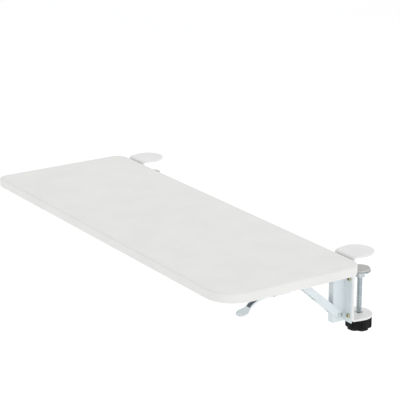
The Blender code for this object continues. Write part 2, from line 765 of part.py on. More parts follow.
def make_brace(side, middle):
    """The diagonal: two tapering cheeks round the leg, joined by a web along their lower edge."""
    foot = (middle, BRACE_FOOT_Y, BRACE_FOOT_Z)
    turn = add_empty(f"{side}_brace_axis", foot, root)
    outline = []
    for start, half, distance in ((-90, BRACE_FOOT_HALF, 0.0), (90, BRACE_TIP_HALF, BRACE_LENGTH)):
        for point in arc(distance, 0.0, half, start, start - 180, 8):
            outline.append(along_brace(point.x, point.y))
    brace = plate(f"{side}_brace", outline, middle - BRACE_OUTSIDE_HALF, middle + BRACE_OUTSIDE_HALF, "X")
    far = BRACE_LENGTH + BRACE_ROOM
    room = [
        along_brace(-BRACE_ROOM, -BRACE_ROOM),
        along_brace(BRACE_WEB_START, -BRACE_ROOM),
        along_brace(BRACE_WEB_START, SHEET - brace_half(BRACE_WEB_START)),
        along_brace(BRACE_WEB_END, SHEET - brace_half(BRACE_WEB_END)),
        along_brace(BRACE_WEB_END, -BRACE_ROOM),
        along_brace(far, -BRACE_ROOM),
        along_brace(far, BRACE_ROOM),
        along_brace(-BRACE_ROOM, BRACE_ROOM),
    ]
    inside = plate(f"{side}_brace_inside", room, middle - BRACE_INSIDE_HALF, middle + BRACE_INSIDE_HALF, "X")
    combine(brace, hide_cutter(inside), "DIFFERENCE")
    across = 2 * BRACE_OUTSIDE_HALF + SHEET
    hole = drill(f"{side}_brace_hole", foot, RIVET_RADIUS + GAP, across, "X")
    combine(brace, hole, "DIFFERENCE")
    finish(brace, COATED, turn)
    name = f"{side}_brace_rivet"
    outside = BRACE_OUTSIDE_HALF
    rivet = make_pin(name, foot, RIVET_RADIUS, outside, RIVET_HEAD_RADIUS, RIVET_HEAD_HEIGHT)
    finish(rivet, ZINC, root)
    low = BRACE_OUTSIDE_HALF + GAP
    high = low + GLIDE_THICKNESS
    for label, base, top in (("left", -high, -low), ("right", low, high)):
        glide = turned(
            f"{side}_glide_{label}",
            [(0.0, top), (GLIDE_RADIUS, top), (GLIDE_RADIUS, base), (0.0, base)],
            (middle, BRACE_TIP_Y, BRACE_TIP_Z),
            "X",
            steps=18,
        )
        finish(glide, NYLON, turn)


# ---------------------------------------------------------------- lever
def make_lever(side, middle):
    """The release lever: an upward-open channel on a pin, running down into a spoon for the finger."""
    pivot = (middle, LEVER_PIVOT_Y, LEVER_PIVOT_Z)
    turn = add_empty(f"{side}_lever_axis", pivot, fold_axis)
    outline = [Vector(point) for point in LEVER_FLOOR + LEVER_NECK + LEVER_RIM]
    lever = plate(f"{side}_lever", outline, middle - LEVER_HALF, middle + LEVER_HALF, "X")
    walled = [point for point in LEVER_FLOOR if point[0] > LEVER_WALL_END_Y]
    room = [Vector((y, z + SHEET)) for y, z in walled]
    room[0] = Vector((LEVER_FLOOR[0][0] + 3 * SHEET, LEVER_FLOOR[0][1] + 2 * SHEET))
    last = room[-1]
    room += [
        Vector((LEVER_WALL_END_Y, last.y)),
        Vector((LEVER_WALL_END_Y, -TRAY_THICKNESS)),
        Vector((room[0].x, -TRAY_THICKNESS)),
    ]
    inside_half = LEVER_HALF - SHEET
    inside = plate(f"{side}_lever_inside", room, middle - inside_half, middle + inside_half, "X")
    combine(lever, hide_cutter(inside), "DIFFERENCE")
    pad = []
    count = 28
    for index in range(count):
        angle = 2 * math.pi * index / count
        pad.append(Vector((SPOON_HALF_WIDTH * math.cos(angle), SPOON_HALF_LENGTH * math.sin(angle))))
    spoon = plate(f"{side}_spoon", pad, -SPOON_THICKNESS, 0.0, "Z")
    spoon.rotation_euler = (SPOON_SLOPE, 0.0, 0.0)
    spoon.location = (middle, SPOON_Y, SPOON_Z)
    combine(lever, hide_cutter(spoon), "UNION")
    across = 2 * LEVER_HALF + SHEET
    hole = drill(f"{side}_lever_hole", pivot, LEVER_PIN_RADIUS + GAP, across, "X", HOLE_SIDES)
    combine(lever, hole, "DIFFERENCE")
    finish(lever, COATED, turn)
    name = f"{side}_lever_pin"
    pin = make_pin(name, pivot, LEVER_PIN_RADIUS, ARM_OUTSIDE_HALF, LEVER_HEAD_RADIUS, LEVER_HEAD_HEIGHT)
    finish(pin, DARK_STEEL, fold_axis)
    make_lever_spring(side, pivot)


def make_lever_spring(side, pivot):
    """A torsion spring round the lever's pin, one leg up against the arm and one along the lever's floor."""
    coil = LEVER_PIN_RADIUS + GAP + SPRING_WIRE + GAP / 2
    each = 10
    count = SPRING_TURNS * each
    half = SPRING_HALF_WIDTH
    points = [(-half, 0.0120, 0.0052), (-half, 0.0060, 0.0036)]
    for step in range(count + 1):
        angle = math.radians(90) + 2 * math.pi * step / each
        across = -half + 2 * half * step / count
        points.append((across, coil * math.cos(angle), coil * math.sin(angle)))
    points.append((half, -0.0060, 0.0026))
    points.append((half, -0.0150, 0.0020))
    line = bpy.data.curves.new(f"{side}_lever_spring", "CURVE")
    line.dimensions = "3D"
    line.bevel_depth = SPRING_WIRE
    line.bevel_resolution = 1
    line.use_fill_caps = True
    spline = line.splines.new("POLY")
    spline.points.add(len(points) - 1)
    for point, (x, y, z) in zip(spline.points, points):
        point.co = (x, y, z, 1.0)
    spring = bpy.data.objects.new(f"{side}_lever_spring", line)
    parts.objects.link(spring)
    spring.location = pivot
    line.materials.append(SPRING)
    hang(spring, spring.location.copy(), fold_axis)


# ---------------------------------------------------------------- build everything
make_tray()
for side_name, side_x in (("left", -CLAMP_SPACING / 2), ("right", CLAMP_SPACING / 2)):
    make_clamp_frame(side_name, side_x)
    make_clamp_screw(side_name, side_x)
    make_leg(side_name, side_x)
    make_ear_screws(side_name, side_x)
    make_arm(side_name, side_x)
    make_arm_screws(side_name, side_x)
    make_hinge(side_name, side_x)
    make_brace(side_name, side_x)
    make_lever(side_name, side_x)
bpy.context.view_layer.update()
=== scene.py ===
"""Looks of the clamp-on keyboard tray: edge finish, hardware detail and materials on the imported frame."""

import json
import math

import bmesh
import bpy
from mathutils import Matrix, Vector


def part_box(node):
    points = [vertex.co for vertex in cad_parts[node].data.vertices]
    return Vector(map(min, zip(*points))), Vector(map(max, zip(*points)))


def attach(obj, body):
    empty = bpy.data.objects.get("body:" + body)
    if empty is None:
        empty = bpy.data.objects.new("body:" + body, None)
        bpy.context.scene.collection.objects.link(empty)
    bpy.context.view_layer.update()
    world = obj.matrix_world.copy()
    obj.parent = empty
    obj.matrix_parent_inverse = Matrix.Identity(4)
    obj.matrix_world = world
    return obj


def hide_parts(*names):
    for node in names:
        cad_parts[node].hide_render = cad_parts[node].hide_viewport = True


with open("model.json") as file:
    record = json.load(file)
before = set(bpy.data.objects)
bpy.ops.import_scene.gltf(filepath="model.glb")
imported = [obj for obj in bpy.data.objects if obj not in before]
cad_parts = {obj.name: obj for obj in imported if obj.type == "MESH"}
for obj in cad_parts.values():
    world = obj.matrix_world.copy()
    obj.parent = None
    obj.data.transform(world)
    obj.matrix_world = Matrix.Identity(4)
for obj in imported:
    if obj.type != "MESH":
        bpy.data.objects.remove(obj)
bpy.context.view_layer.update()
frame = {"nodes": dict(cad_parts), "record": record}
SIDES = ("left", "right")
MM = 0.001


# ---------------------------------------------------------------- camera
def make_camera():
    """A long lens from the front right, a little above the board."""
    data = bpy.data.cameras.new("camera")
    data.sensor_width = 36.0
    data.lens = 152.1
    camera = bpy.data.objects.new("camera", data)
    bpy.context.scene.collection.objects.link(camera)
    camera.location = (2.0905, -1.4399, 0.8207)
    around = math.radians(56.616)
    above = math.radians(17.813)
    level = math.cos(above)
    ahead = Vector((-math.sin(around) * level, math.cos(around) * level, -math.sin(above)))
    camera.rotation_euler = ahead.to_track_quat("-Z", "Y").to_euler()
    bpy.context.scene.camera = camera


make_camera()


# ---------------------------------------------------------------- node tools
class Wire:
    """A socket that can be added and multiplied in expressions."""

    def __init__(self, shader, socket):
        self.shader = shader
        self.socket = socket

    def _math(self, operation, *others):
        return self.shader.node("ShaderNodeMath", {"operation": operation}, [self, *others])

    def __add__(self, other):
        return self._math("ADD", other)

    def __mul__(self, other):
        return self._math("MULTIPLY", other)

    __radd__ = __add__
    __rmul__ = __mul__

    def ramp(self, low, high):
        """Map low..high to 0..1, smoothly and with both ends held."""
        settings = {"interpolation_type": "SMOOTHSTEP"}
        return self.shader.node("ShaderNodeMapRange", settings, [self, low, high])


class Shader:
    """One material's node tree with a Principled shader at its end."""

    def __init__(self, name):
        self.material = bpy.data.materials.new(name)
        self.material.use_nodes = True
        self.tree = self.material.node_tree
        self.end = self.tree.nodes["Principled BSDF"]

    def node(self, kind, settings, values=(), out=0):
        """Add a node, set its settings, then its inputs by order or by name."""
        made = self.tree.nodes.new(kind)
        for key, value in settings.items():
            setattr(made, key, value)
        pairs = values.items() if isinstance(values, dict) else enumerate(values)
        for key, value in pairs:
            self._fill(made.inputs[key], value)
        return Wire(self, made.outputs[out])

    def _fill(self, socket, value):
        if isinstance(value, Wire):
            self.tree.links.new(value.socket, socket)
        elif value is not None:
            socket.default_value = value

    def set(self, **values):
        """Set or link sockets of the Principled shader; base_color becomes Base Color."""
        for key, value in values.items():
            socket = self.end.inputs[key.replace("_", " ").title().replace("Ior", "IOR")]
            if isinstance(value, tuple) and len(value) == 3 and socket.type == "RGBA":
                value = (*value, 1.0)
            self._fill(socket, value)

    def place(self, scale=(1.0, 1.0, 1.0)):
        """Object coordinates, stretched."""
        coords = self.node("ShaderNodeTexCoord", {}, (), "Object")
        return self.node("ShaderNodeMapping", {}, {"Vector": coords, "Scale": scale})

    def noise(self, size, detail, rough=0.5, stretch=(1.0, 1.0, 1.0)):
        """Soft noise with features about size metres across."""
        values = {"Vector": self.place(stretch), "Scale": 1.0 / size, "Detail": detail, "Roughness": rough}
        return self.node("ShaderNodeTexNoise", {}, values, "Fac")

    def cells(self, size):
        """Rounded cells about size metres across."""
        values = {"Vector": self.place(), "Scale": 1.0 / size}
        return self.node("ShaderNodeTexVoronoi", {"feature": "F1"}, values, "Distance")

    def mix(self, share, first, second):
        """Blend two colours; a Mix node's colour sockets are its inputs 6 and 7 and its output 2."""
        values = {0: share, 6: (*first, 1.0), 7: (*second, 1.0)}
        return self.node("ShaderNodeMix", {"data_type": "RGBA"}, values, 2)

    def bump(self, height, distance, strength):
        """Turn a height into a normal and use it."""
        values = {"Height": height, "Distance": distance, "Strength": strength}
        self.set(normal=self.node("ShaderNodeBump", {}, values))


# ---------------------------------------------------------------- materials
def board_laminate():
    """Satin white laminate: a barely mottled, faintly pebbled sheet."""
    look = Shader("board_laminate")
    cloud = look.noise(0.060, 3.0, 0.6)
    pebble = look.noise(0.0011, 2.0, 0.55)
    tone = look.mix(cloud.ramp(0.3, 0.7), (0.80, 0.796, 0.782), (0.83, 0.826, 0.812))
    look.set(base_color=tone, roughness=cloud * 0.06 + pebble * 0.08 + 0.40)
    look.bump(pebble, 0.00006, 0.6)
    return look.material


def board_edging():
    """Smoother, brighter white edging round the board."""
    look = Shader("board_edging")
    cloud = look.noise(0.045, 2.0)
    grain = look.noise(0.0007, 2.0)
    tone = look.mix(cloud.ramp(0.3, 0.7), (0.80, 0.797, 0.785), (0.825, 0.822, 0.81))
    look.set(base_color=tone, roughness=grain * 0.08 + 0.30)
    look.bump(grain, 0.00003, 0.5)
    return look.material


def powder_coat(name, darker, lighter, smoothest):
    """White powder coat on steel, with its orange peel."""
    look = Shader(name)
    cloud = look.noise(0.030, 3.0)
    peel = look.noise(0.0016, 2.0, 0.45)
    fine = look.cells(0.0005)
    tone = look.mix(cloud.ramp(0.3, 0.7), darker, lighter)
    look.set(base_color=tone, roughness=peel * 0.16 + smoothest)
    look.bump(peel * 0.8 + fine * 0.2, 0.00012, 0.55)
    return look.material


def zinc_plate():
    """Bright zinc plate with fine drawn lines and a bluish bloom."""
    look = Shader("zinc_plate")
    lines = look.noise(0.0006, 3.0, 0.6, (1.0, 1.0, 0.04))
    bloom = look.noise(0.006, 2.0)
    tone = look.mix(bloom.ramp(0.35, 0.7), (0.50, 0.56, 0.59), (0.62, 0.655, 0.66))
    look.set(base_color=tone, metallic=1.0, roughness=lines * 0.14 + 0.10)
    look.bump(lines, 0.00002, 0.4)
    return look.material


def yellow_zinc():
    """Yellow-passivated zinc with a faint drift of tone."""
    look = Shader("yellow_zinc")
    drift = look.noise(0.0025, 3.0, 0.6)
    tone = look.mix(drift.ramp(0.3, 0.7), (0.50, 0.47, 0.27), (0.66, 0.62, 0.42))
    look.set(base_color=tone, metallic=1.0, roughness=drift * 0.2 + 0.26)
    look.bump(drift, 0.00003, 0.4)
    return look.material


def blackened_steel():
    """Dark screws with a thin oily shine and brighter rubs."""
    look = Shader("blackened_steel")
    rub = look.noise(0.0014, 3.0, 0.65)
    tone = look.mix(rub.ramp(0.55, 0.8), (0.055, 0.055, 0.058), (0.17, 0.17, 0.17))
    look.set(base_color=tone, metallic=0.9, roughness=rub * 0.25 + 0.28)
    look.bump(rub, 0.00004, 0.5)
    return look.material


def black_moulding():
    """Black moulded plastic with a fine spark texture."""
    look = Shader("black_moulding")
    spark = look.noise(0.0005, 3.0, 0.6)
    cloud = look.noise(0.008, 2.0)
    tone = look.mix(cloud.ramp(0.3, 0.7), (0.002, 0.002, 0.0025), (0.005, 0.005, 0.0055))
    look.set(base_color=tone, roughness=spark * 0.15 + 0.14)
    look.set(specular_ior_level=0.16)
    look.bump(spark, 0.00006, 0.6)
    return look.material


def pad_rubber():
    """Matt light grey rubber with a bloom."""
    look = Shader("pad_rubber")
    bloom = look.noise(0.003, 4.0, 0.6)
    tone = look.mix(bloom.ramp(0.4, 0.75), (0.56, 0.56, 0.55), (0.64, 0.64, 0.63))
    look.set(base_color=tone, roughness=bloom * 0.15 + 0.72)
    look.bump(bloom, 0.0001, 0.5)
    return look.material


def neck_painted_shade():
    """Painted shade: a matt slate grey standing in for the deep shade inside the lever's neck channel, with
    faint streaks.
    """
    look = Shader("neck_painted_shade")
    streak = look.noise(0.0008, 4.0, 0.65, (1.0, 0.35, 1.0))
    tone = look.mix(streak.ramp(0.3, 0.7), (0.075, 0.085, 0.10), (0.16, 0.175, 0.20))
    look.set(base_color=tone, roughness=streak * 0.1 + 0.85)
    look.bump(streak, 0.0001, 0.6)
    return look.material


def natural_nylon():
    """Milky nylon."""
    look = Shader("natural_nylon")
    cloud = look.noise(0.002, 2.0)
    tone = look.mix(cloud.ramp(0.3, 0.7), (0.70, 0.69, 0.63), (0.76, 0.75, 0.69))
    look.set(base_color=tone, roughness=cloud * 0.1 + 0.42)
    look.bump(cloud, 0.00004, 0.4)
    return look.material


def spring_steel():
    """Drawn spring wire."""
    look = Shader("spring_steel")
    lines = look.noise(0.0003, 2.0)
    tone = look.mix(lines.ramp(0.3, 0.7), (0.36, 0.36, 0.37), (0.46, 0.46, 0.46))
    look.set(base_color=tone, metallic=1.0, roughness=lines * 0.15 + 0.24)
    look.bump(lines, 0.00002, 0.4)
    return look.material


# Two copies of one white powder coat. The clamp plates' copy is brighter and more neutral: painted light on
# the tongue and its bend. The folded sheets' copy is darker with a faint cool cast.
LOOKS = {
    "white_laminate": board_laminate(),
    "edging": board_edging(),
    "white_coat": powder_coat("powder_coat", (0.70, 0.765, 0.79), (0.745, 0.805, 0.83), 0.30),
    "lit_clamp_coat": powder_coat("lit_clamp_coat", (0.80, 0.80, 0.795), (0.84, 0.84, 0.835), 0.32),
    "zinc": zinc_plate(),
    "yellow_zinc": yellow_zinc(),
    "dark_steel": blackened_steel(),
    "black_plastic": black_moulding(),
    "rubber": pad_rubber(),
    # The neck's slate grey is painted shade, not a part of the lever.
    "neck_painted_shade": neck_painted_shade(),
    "nylon": natural_nylon(),
    "spring_wire": spring_steel(),
}
SLOT_OF = {entry["node"]: entry["material_slot"] for entry in frame["record"]["subparts"]}
BODY_OF = {node: body for body, nodes in frame["record"]["behaviour"]["bodies"].items() for node in nodes}


def dress(item, *names):
    """Give a piece its looks in the order of its slots."""
    item.data.materials.clear()
    for name in names:
        item.data.materials.append(LOOKS[name])


def dress_frame():
    """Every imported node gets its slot's look."""
    for name, node in frame["nodes"].items():
        for slot in node.material_slots:
            slot.material = LOOKS[SLOT_OF[name]]


dress_frame()


# ---------------------------------------------------------------- modelling by hand
def deselect():
    """Nothing selected, in object mode."""
    if bpy.context.object is not None and bpy.context.object.mode != "OBJECT":
        bpy.ops.object.mode_set(mode="OBJECT")
    bpy.ops.object.select_all(action="DESELECT")


def work_on(item):
    """Make one piece the active one, alone in the selection."""
    deselect()
    item.select_set(True)
    bpy.context.view_layer.objects.active = item


def edit(item):
    """Enter edit mode with all of the piece selected."""
    work_on(item)
    bpy.ops.object.mode_set(mode="EDIT")
    bpy.ops.mesh.select_all(action="SELECT")


def done():
    """Leave edit mode."""
    bpy.ops.object.mode_set(mode="OBJECT")


def pick(kind, test):
    """In edit mode, select only the vertices, edges or faces that pass a test."""
    bpy.ops.mesh.select_mode(type=kind)
    bpy.ops.mesh.select_all(action="DESELECT")
    mesh = bpy.context.edit_object.data
    work = bmesh.from_edit_mesh(mesh)
    chosen = {"VERT": work.verts, "EDGE": work.edges, "FACE": work.faces}[kind]
    for part in chosen:
        if test(part):
            part.select_set(True)
    work.select_flush_mode()
    bmesh.update_edit_mesh(mesh)


def settle(item, place, turn):
    """Turn and move a piece, then put its place into its mesh."""
    work_on(item)
    item.rotation_euler = turn
    item.location = place
    bpy.ops.object.transform_apply(location=True, rotation=True, scale=True)


def outward():
    """In edit mode, merge doubles and turn every face outwards."""
    bpy.ops.mesh.select_all(action="SELECT")
    bpy.ops.mesh.remove_doubles(threshold=0.000001)
    bpy.ops.mesh.normals_make_consistent(inside=False)


def finish_with(item, kind, **settings):
    """Add a modifier and apply it."""
    work_on(item)
    change = item.modifiers.new(kind.lower(), kind)
    for key, value in settings.items():
        setattr(change, key, value)
    bpy.ops.object.modifier_apply(modifier=change.name)


def soften(item, width, segments, angle):
    """Round the sharp edges and shade the piece smoothly."""
    limit = math.radians(angle)
    finish_with(item, "BEVEL", width=width, segments=segments, limit_method="ANGLE", angle_limit=limit)
    shade(item, angle)


def shade(item, angle):
    """Smooth shading that keeps real creases, weighted to the larger faces."""
    work_on(item)
    bpy.ops.object.shade_smooth_by_angle(angle=math.radians(angle))
    finish_with(item, "WEIGHTED_NORMAL", mode="FACE_AREA", weight=80, keep_sharp=True)


def turned(name, profile, sides, hollow=False):
    """A turned piece about Z: a ring extruded and resized through (radius, height) points."""
    deselect()
    radius, height = profile[0]
    bpy.ops.mesh.primitive_circle_add(vertices=sides, radius=radius, location=(0.0, 0.0, 0.0))
    item = bpy.context.active_object
    item.name = name
    edit(item)
    bpy.ops.transform.translate(value=(0.0, 0.0, height))
    for next_radius, next_height in profile[1:]:
        rise = (0.0, 0.0, next_height - height)
        bpy.ops.mesh.extrude_edges_move(TRANSFORM_OT_translate={"value": rise})
        grow = next_radius / radius
        bpy.ops.transform.resize(value=(grow, grow, 1.0), center_override=(0.0, 0.0, next_height))
        radius, height = next_radius, next_height
    if not hollow:
        bpy.ops.mesh.edge_face_add()
        pick("EDGE", lambda edge: edge.is_boundary)
        bpy.ops.mesh.edge_face_add()
    outward()
    done()
    return item


def carve(item, tool):
    """Cut one piece with another, then throw the other away."""
    finish_with(item, "BOOLEAN", operation="DIFFERENCE", object=tool, solver="EXACT")
    bpy.data.objects.remove(tool, do_unlink=True)


def another(model, name, place, turn=(0.0, 0.0, 0.0)):
    """A copy with its own mesh, at its own place."""
    made = bpy.data.objects.new(name, model.data.copy())
    bpy.context.scene.collection.objects.link(made)
    settle(made, place, turn)
    return made


def stand_for(piece, node):
    """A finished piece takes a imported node's place, body and finish."""
    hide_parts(node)
    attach(piece, BODY_OF[node])
    if not piece.data.materials:
        dress(piece, SLOT_OF[node])


def middle_of(node):
    """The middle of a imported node's box."""
    low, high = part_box(node)
    return [(low[axis] + high[axis]) / 2 for axis in range(3)]


# ---------------------------------------------------------------- folded sheet pieces
def folded_sheet(node, name, width, look="white_coat"):
    """A packed sheet piece again, merged and flattened, with its cut edges rounded."""
    made = bpy.data.objects.new(name, frame["nodes"][node].data.copy())
    bpy.context.scene.collection.objects.link(made)
    made.data.materials.clear()
    edit(made)
    bpy.ops.mesh.remove_doubles(threshold=0.000005)
    bpy.ops.mesh.dissolve_limited(angle_limit=math.radians(0.6))
    done()
    soften(made, width, 3, 38)
    dress(made, look)
    stand_for(made, node)


def make_sheets():
    """Clamp plates, legs, arms and braces."""
    for side in SIDES:
        # The clamp plates take the brighter copy of the powder coat: painted light.
        folded_sheet(f"{side}_clamp_frame", f"{side}_clamp_plate", 0.35 * MM, "lit_clamp_coat")
        folded_sheet(f"{side}_leg", f"{side}_hat_leg", 0.25 * MM)
        folded_sheet(f"{side}_arm", f"{side}_channel_arm", 0.25 * MM)
        folded_sheet(f"{side}_brace", f"{side}_diagonal_brace", 0.25 * MM)


make_sheets()


# ---------------------------------------------------------------- board
def make_board():
    """The board: corners rounded in plan, a rounded rim, and edging that laps a little onto both faces."""
    low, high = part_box("tray_board")
    size = [high[axis] - low[axis] for axis in range(3)]
    centre = [(high[axis] + low[axis]) / 2 for axis in range(3)]
    deselect()
    bpy.ops.mesh.primitive_plane_add(size=1.0, location=(0.0, 0.0, 0.0))
    board = bpy.context.active_object
    board.name = "board"
    edit(board)
    bpy.ops.transform.resize(value=(size[0], size[1], 1.0), center_override=(0.0, 0.0, 0.0))
    bpy.ops.transform.translate(value=(centre[0], centre[1], high[2]))
    front_right = 45 * MM
    front_left = 14 * MM
    back = 21 * MM
    corners = (
        (high[0], low[1], front_right, 22),
        (low[0], low[1], front_left, 12),
        (high[0], high[1], back, 14),
        (low[0], high[1], back, 14),
    )
    for x, y, radius, steps in corners:
        pick("VERT", lambda vert: math.hypot(vert.co.x - x, vert.co.y - y) < MM)
        bpy.ops.mesh.bevel(offset=radius, segments=steps, affect="VERTICES")
    bpy.ops.mesh.select_mode(type="FACE")
    bpy.ops.mesh.select_all(action="SELECT")
    drop = (0.0, 0.0, low[2] - high[2])
    bpy.ops.mesh.extrude_region_move(TRANSFORM_OT_translate={"value": drop})
    outward()
    rim = 2.8 * MM
    lap = 1.2 * MM
    broad = 0.01
    pick("EDGE", lambda edge: abs(edge.verts[0].co.z - edge.verts[1].co.z) < 0.1 * MM)
    bpy.ops.mesh.bevel(offset=rim, segments=7, profile=0.5)
    pick("FACE", lambda face: abs(face.normal.z) > 0.999 and face.calc_area() > broad)
    bpy.ops.mesh.inset(thickness=lap)
    done()
    dress(board, "white_laminate", "edging")
    edit(board)
    pick("FACE", lambda face: face.calc_area() < broad)
    board.active_material_index = 1
    bpy.ops.object.material_slot_assign()
    done()
    shade(board, 30)
    stand_for(board, "tray_board")


make_board()


# ---------------------------------------------------------------- release levers
# Stations along a lever, back to front, in millimetres: y, z of the floor, half width, wall height.
LEVER_STATIONS = (
    (-114.6, -30.4, 5.2, 3.4),
    (-116.6, -31.2, 5.9, 5.6),
    (-121.7, -33.0, 6.0, 8.0),
    (-131.0, -34.7, 6.0, 9.8),
    (-141.3, -35.2, 6.0, 9.6),
    (-149.0, -36.3, 6.0, 8.2),
    (-155.5, -37.8, 6.0, 5.6),
    (-161.0, -39.5, 6.0, 3.6),
    (-165.5, -41.5, 5.9, 3.4),
    (-169.0, -44.2, 5.6, 3.4),
    (-171.6, -46.9, 5.5, 2.6),
    (-173.6, -49.0, 6.9, 2.6),
    (-176.0, -50.6, 8.9, 2.9),
    (-179.5, -51.9, 9.9, 3.1),
    (-183.4, -52.9, 9.9, 3.0),
    (-186.6, -53.6, 8.6, 2.6),
    (-188.8, -53.9, 6.0, 1.9),
    (-189.9, -53.8, 2.6, 0.9),
)
# Points across a lever from wall to wall: share of the half width, share of the wall height.
LEVER_LEFT = ((-1.0, 1.0), (-1.0, 0.45), (-0.97, 0.10), (-0.80, 0.0), (-0.35, 0.0))
LEVER_ACROSS = LEVER_LEFT + tuple((-u, v) for u, v in reversed(LEVER_LEFT))
NECK_BACK = -150.0 * MM
NECK_FRONT = -171.0 * MM
NECK_HALF = 4.3 * MM


def in_shaded_neck(face):
    """Whether a face lies inside the channel of the neck, where the shade is painted dark."""
    middle = face.calc_center_median()
    inward = face.normal.z > 0.2 or face.normal.x * middle.x < -0.2 * abs(middle.x)
    return NECK_FRONT < middle.y < NECK_BACK and abs(middle.x) < NECK_HALF and inward


def lever_shell():
    """One lever about the middle plane: a channel through its stations, then thickened and smoothed."""
    mesh = bpy.data.meshes.new("lever_shell")
    shell = bpy.data.objects.new("lever_shell", mesh)
    bpy.context.scene.collection.objects.link(shell)
    work = bmesh.new()
    rows = []
    for y, z, half, wall in LEVER_STATIONS:
        row = [work.verts.new((u * half * MM, y * MM, (z + v * wall) * MM)) for u, v in LEVER_ACROSS]
        rows.append(row)
    for back, front in zip(rows, rows[1:]):
        for index in range(len(LEVER_ACROSS) - 1):
            work.faces.new((back[index], back[index + 1], front[index + 1], front[index]))
    work.to_mesh(mesh)
    work.free()
    finish_with(shell, "SUBSURF", levels=1, render_levels=1)
    edit(shell)
    bpy.ops.mesh.normals_make_consistent(inside=False)
    done()
    up = sum(face.normal.z * face.area for face in shell.data.polygons)
    finish_with(shell, "SOLIDIFY", thickness=1.4 * MM, offset=1.0 if up > 0 else -1.0, use_even_offset=True)
    edit(shell)
    outward()
    done()
    finish_with(shell, "SUBSURF", levels=1, render_levels=1)
    dress(shell, "white_coat", "neck_painted_shade")
    edit(shell)
    # Faces inside the neck's channel get the slate grey: painted shade where the board above shades the
    # channel.
    pick("FACE", in_shaded_neck)
    shell.active_material_index = 1
    bpy.ops.object.material_slot_assign()
    done()
    shade(shell, 60)
    return shell


def make_levers():
    """Both release levers."""
    model = lever_shell()
    for side in SIDES:
        lever = another(model, f"{side}_release_lever", (middle_of(f"{side}_lever")[0], 0.0, 0.0))
        stand_for(lever, f"{side}_lever")
    bpy.data.objects.remove(model, do_unlink=True)


make_levers()


# ---------------------------------------------------------------- clamp screws
def fluted_knob():
    """A round knob with five finger flutes, a collar above and a dished face below, top at zero."""
    radius = 19.5 * MM
    profile = [
        (8.6 * MM, 0.0),
        (9.2 * MM, -0.3 * MM),
        (9.2 * MM, -1.0 * MM),
        (16.8 * MM, -1.6 * MM),
        (18.6 * MM, -2.2 * MM),
        (radius, -3.4 * MM),
        (radius, -17.4 * MM),
        (19.0 * MM, -18.8 * MM),
        (17.9 * MM, -19.7 * MM),
        (16.0 * MM, -20.0 * MM),
        (8.2 * MM, -20.0 * MM),
        (8.0 * MM, -19.4 * MM),
    ]
    knob = turned("fluted_knob", profile, 80)
    flutes = 5
    first_lobe = -0.12
    reach = 22.8 * MM
    cutter = 8.2 * MM
    for index in range(flutes):
        angle = 2 * math.pi * (index + 0.5) / flutes + first_lobe
        deselect()
        place = (reach * math.cos(angle), reach * math.sin(angle), -10 * MM)
        bpy.ops.mesh.primitive_cylinder_add(vertices=48, radius=cutter, depth=30 * MM, location=place)
        carve(knob, bpy.context.active_object)
    edit(knob)
    outward()
    done()
    soften(knob, 1.5 * MM, 4, 40)
    return knob


def threaded_spindle(low, high):
    """An M8 thread along Z, cut flat at low and at high."""
    pitch = 1.25 * MM
    outer = 4.0 * MM
    root = 3.35 * MM
    turns = int((high - low) / pitch) + 3
    spindle = bpy.data.objects.new("threaded_spindle", bpy.data.meshes.new("threaded_spindle"))
    bpy.context.scene.collection.objects.link(spindle)
    work = bmesh.new()
    steps = ((root, 0.0), (root, 0.14), (outer, 0.44), (outer, 0.60), (root, 0.90), (root, 1.0))
    line = [work.verts.new((radius, 0.0, low - pitch + share * pitch)) for radius, share in steps]
    for first, second in zip(line, line[1:]):
        work.edges.new((first, second))
    work.to_mesh(spindle.data)
    work.free()
    finish_with(
        spindle,
        "SCREW",
        angle=2 * math.pi,
        screw_offset=pitch,
        iterations=turns,
        steps=28,
        render_steps=28,
        use_merge_vertices=True,
        merge_threshold=0.000002,
    )
    edit(spindle)
    bpy.ops.mesh.remove_doubles(threshold=0.000002)
    for height, above in ((low, False), (high, True)):
        bpy.ops.mesh.select_all(action="SELECT")
        bpy.ops.mesh.bisect(
            plane_co=(0.0, 0.0, height),
            plane_no=(0.0, 0.0, 1.0),
            use_fill=True,
            clear_outer=above,
            clear_inner=not above,
        )
    outward()
    done()
    shade(spindle, 50)
    return spindle


def knob_plug():
    """The shallow cap in the knob's underside, top at zero."""
    profile = [
        (7.5 * MM, 0.0),
        (7.5 * MM, -0.5 * MM),
        (7.2 * MM, -0.8 * MM),
        (6.4 * MM, -1.1 * MM),
        (4.5 * MM, -1.35 * MM),
        (2.0 * MM, -1.4 * MM),
    ]
    cap = turned("cap", profile, 40)
    shade(cap, 50)
    return cap


def threaded_bush():
    """The bush in the jaw, a ring with rounded rims."""
    profile = [
        (4.35 * MM, 0.1 * MM),
        (5.3 * MM, 0.1 * MM),
        (5.8 * MM, -0.1 * MM),
        (5.95 * MM, -0.5 * MM),
        (5.95 * MM, -2.5 * MM),
        (5.8 * MM, -2.9 * MM),
        (5.3 * MM, -3.1 * MM),
        (4.35 * MM, -3.1 * MM),
        (4.35 * MM, 0.1 * MM),
    ]
    bush = turned("bush", profile, 40, hollow=True)
    shade(bush, 30)
    return bush


def swivel_disc():
    """The pressure disc with its neck below, top at zero."""
    profile = [
        (15.4 * MM, 0.0),
        (15.8 * MM, -0.15 * MM),
        (16.0 * MM, -0.55 * MM),
        (16.0 * MM, -1.9 * MM),
        (15.8 * MM, -2.25 * MM),
        (15.3 * MM, -2.4 * MM),
        (8.8 * MM, -2.5 * MM),
        (7.8 * MM, -2.9 * MM),
        (7.5 * MM, -3.6 * MM),
        (7.5 * MM, -9.8 * MM),
        (7.3 * MM, -10.2 * MM),
        (6.9 * MM, -10.4 * MM),
        (4.3 * MM, -10.4 * MM),
        (4.3 * MM, -4.0 * MM),
    ]
    disc = turned("disc", profile, 48)
    shade(disc, 30)
    return disc


